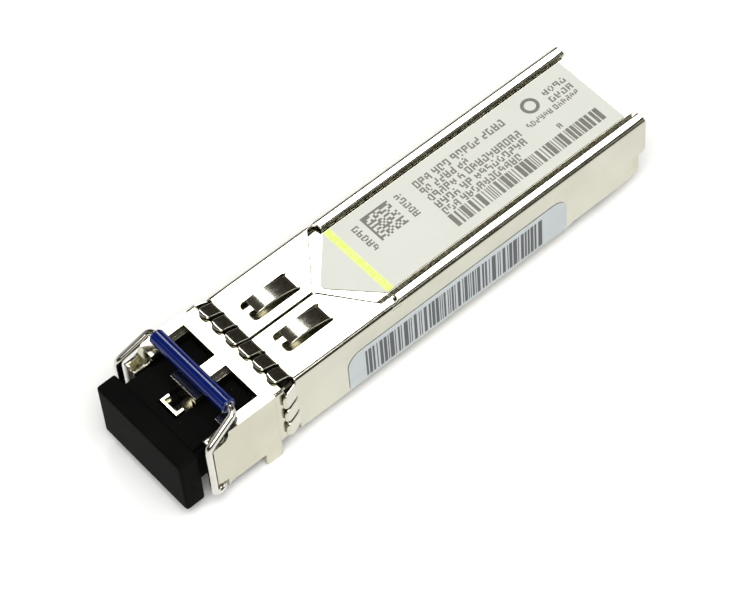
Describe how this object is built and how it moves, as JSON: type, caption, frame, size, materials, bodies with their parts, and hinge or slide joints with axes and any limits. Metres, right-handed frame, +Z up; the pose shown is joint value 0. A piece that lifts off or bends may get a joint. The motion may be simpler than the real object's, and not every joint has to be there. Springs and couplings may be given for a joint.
{
  "type": "optical transceiver module",
  "caption": "Pluggable optical transceiver: folded metal shell with contact fingers, duplex port nose, hinged wire bail with sleeve, rocking latch and dust plug.",
  "frame": {"origin": "middle of the box under the module: centred across its width and its length, at the bottom of the nose's two feet", "axes": "+Y from the port end to the host end, along the module; +X across its width; +Z up from the belly to the labelled top"},
  "size_m": [0.0146, 0.0602, 0.0124],
  "materials": {
    "plated_sheet": "bright nickel-plated sheet",
    "plated_casting": "nickel-plated zinc casting",
    "steel_wire": "polished stainless spring wire",
    "stainless_steel": "satin",
    "spring_steel": "satin",
    "blue_plastic": "smooth moulded",
    "black_elastomer": "matte moulded",
    "gold_plate": "gold-plated",
    "zirconia": "ground",
    "polyimide": "smooth film",
    "conductive_elastomer": "matte",
    "board_laminate": "solder mask",
    "epoxy": "moulded",
    "ferrite": "sintered",
    "capacitor_ceramic": "fired",
    "thermal_silicone": "soft",
    "label_stock": "printed polyester label"
  },
  "bodies": {
    "root": {"outer_shell": "plated_sheet", "base_housing": "plated_casting", "top_cover": "plated_casting", "lever_pin": "stainless_steel", "lever_spring": "spring_steel", "transmitter_barrel": "stainless_steel", "receiver_barrel": "stainless_steel", "transmitter_can": "gold_plate", "receiver_can": "gold_plate", "transmitter_ferrule_sleeve": "zirconia", "receiver_ferrule_sleeve": "zirconia", "transmitter_flex": "polyimide", "receiver_flex": "polyimide", "optics_clamp": "plated_casting", "optics_gasket": "conductive_elastomer", "circuit_board": "board_laminate", "laser_driver": "epoxy", "receive_amplifier": "epoxy", "microcontroller": "epoxy", "memory_chip": "epoxy", "transmitter_inductor": "ferrite", "receiver_inductor": "ferrite", "capacitor_1": "capacitor_ceramic", "capacitor_2": "capacitor_ceramic", "capacitor_3": "capacitor_ceramic", "capacitor_4": "capacitor_ceramic", "thermal_pad": "thermal_silicone", "top_label": "label_stock", "side_label": "label_stock"},
    "bail": {"bail_wire": "steel_wire", "bail_sleeve": "blue_plastic"},
    "latch": {"latch_lever": "stainless_steel"},
    "plug": {"dust_plug": "black_elastomer"}
  },
  "joints": [
    {"name": "bail_swing", "type": "hinge", "parent": "root", "child": "bail", "pos_m": [0, -0.0257, 0.00208], "axis": [1, 0, 0], "range_deg": [0, 90]},
    {"name": "latch_rock", "type": "hinge", "parent": "root", "child": "latch", "pos_m": [0, -0.02095, 0.00203], "axis": [1, 0, 0], "range_deg": [0, 8.5], "deforming": ["lever_spring"]},
    {"name": "plug_pull", "type": "slide", "parent": "root", "child": "plug", "axis": [0, -1, 0], "range_m": [0, 0.03]}
  ],
  "couplings": [
    {"joint": "latch_rock", "follows": "bail_swing", "ratio": 0.09333}
  ]
}
